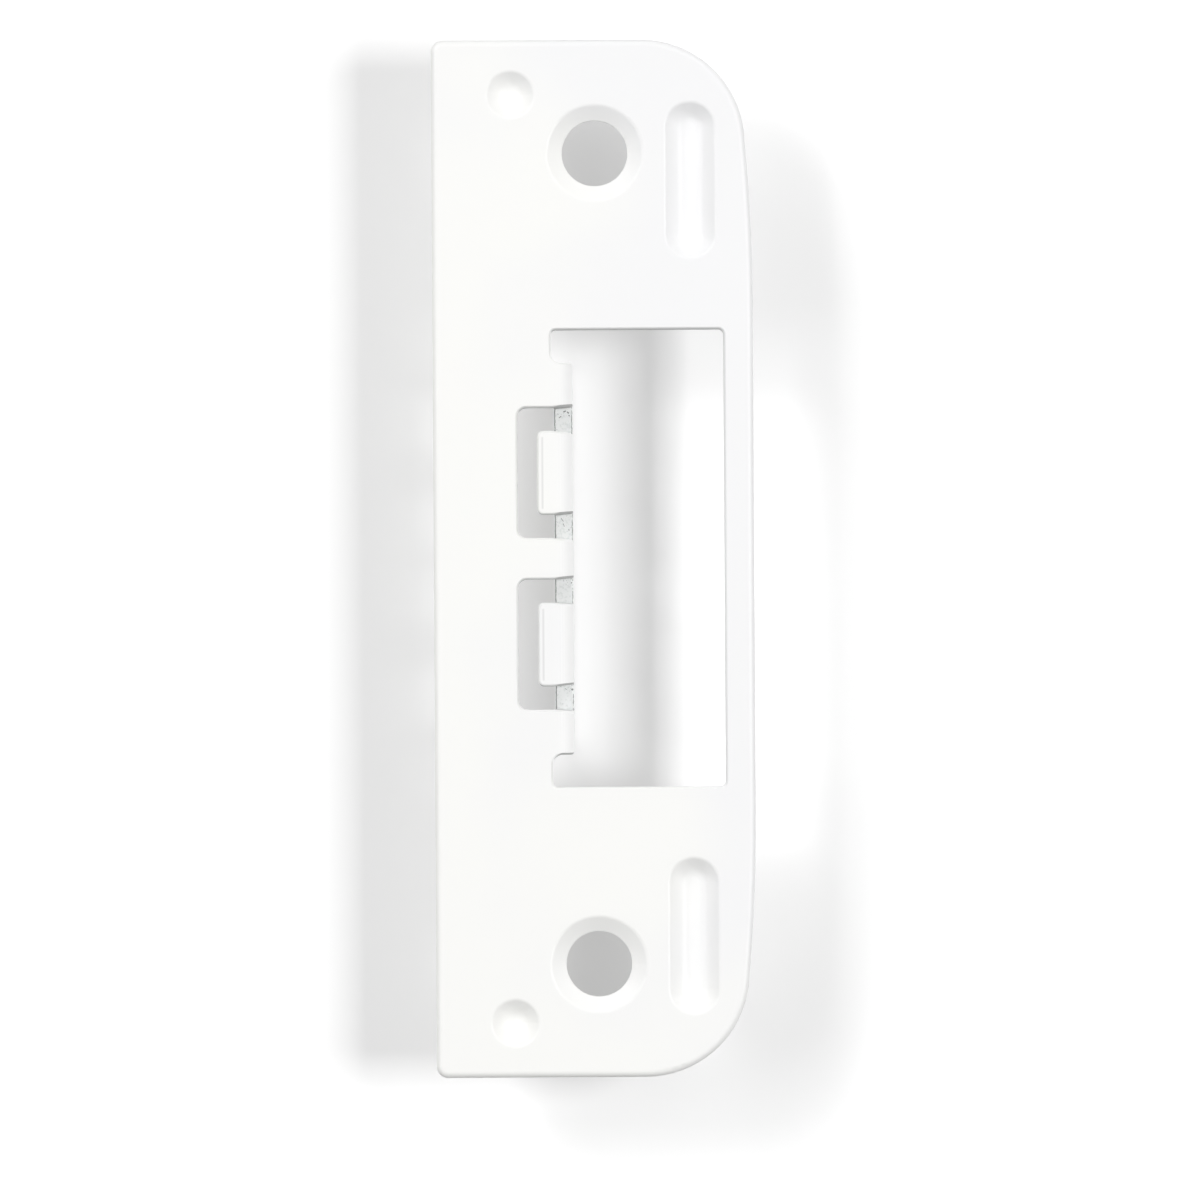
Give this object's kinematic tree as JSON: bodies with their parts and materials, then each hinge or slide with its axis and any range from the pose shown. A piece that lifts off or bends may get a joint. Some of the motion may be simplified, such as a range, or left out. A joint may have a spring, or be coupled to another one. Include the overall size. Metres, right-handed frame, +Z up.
{
  "type": "door strike plate",
  "caption": "White sheet-steel strike plate with a latch opening, a folded guide lip with adjusting tabs, countersunk screw holes and pressed dimples and grooves.",
  "frame": {"origin": "midway between the two screw holes, on the back face that seats on the door frame", "axes": "+Z up along the plate's length, +X across its width towards the round edge that the latch rides over, +Y into the door frame, so the face that shows looks towards -Y"},
  "size_m": [0.034, 0.012, 0.11],
  "materials": {
    "coated_steel": "semi-gloss white powder coat"
  },
  "bodies": {
    "root": {"strike_plate": "coated_steel"}
  },
  "joints": []
}
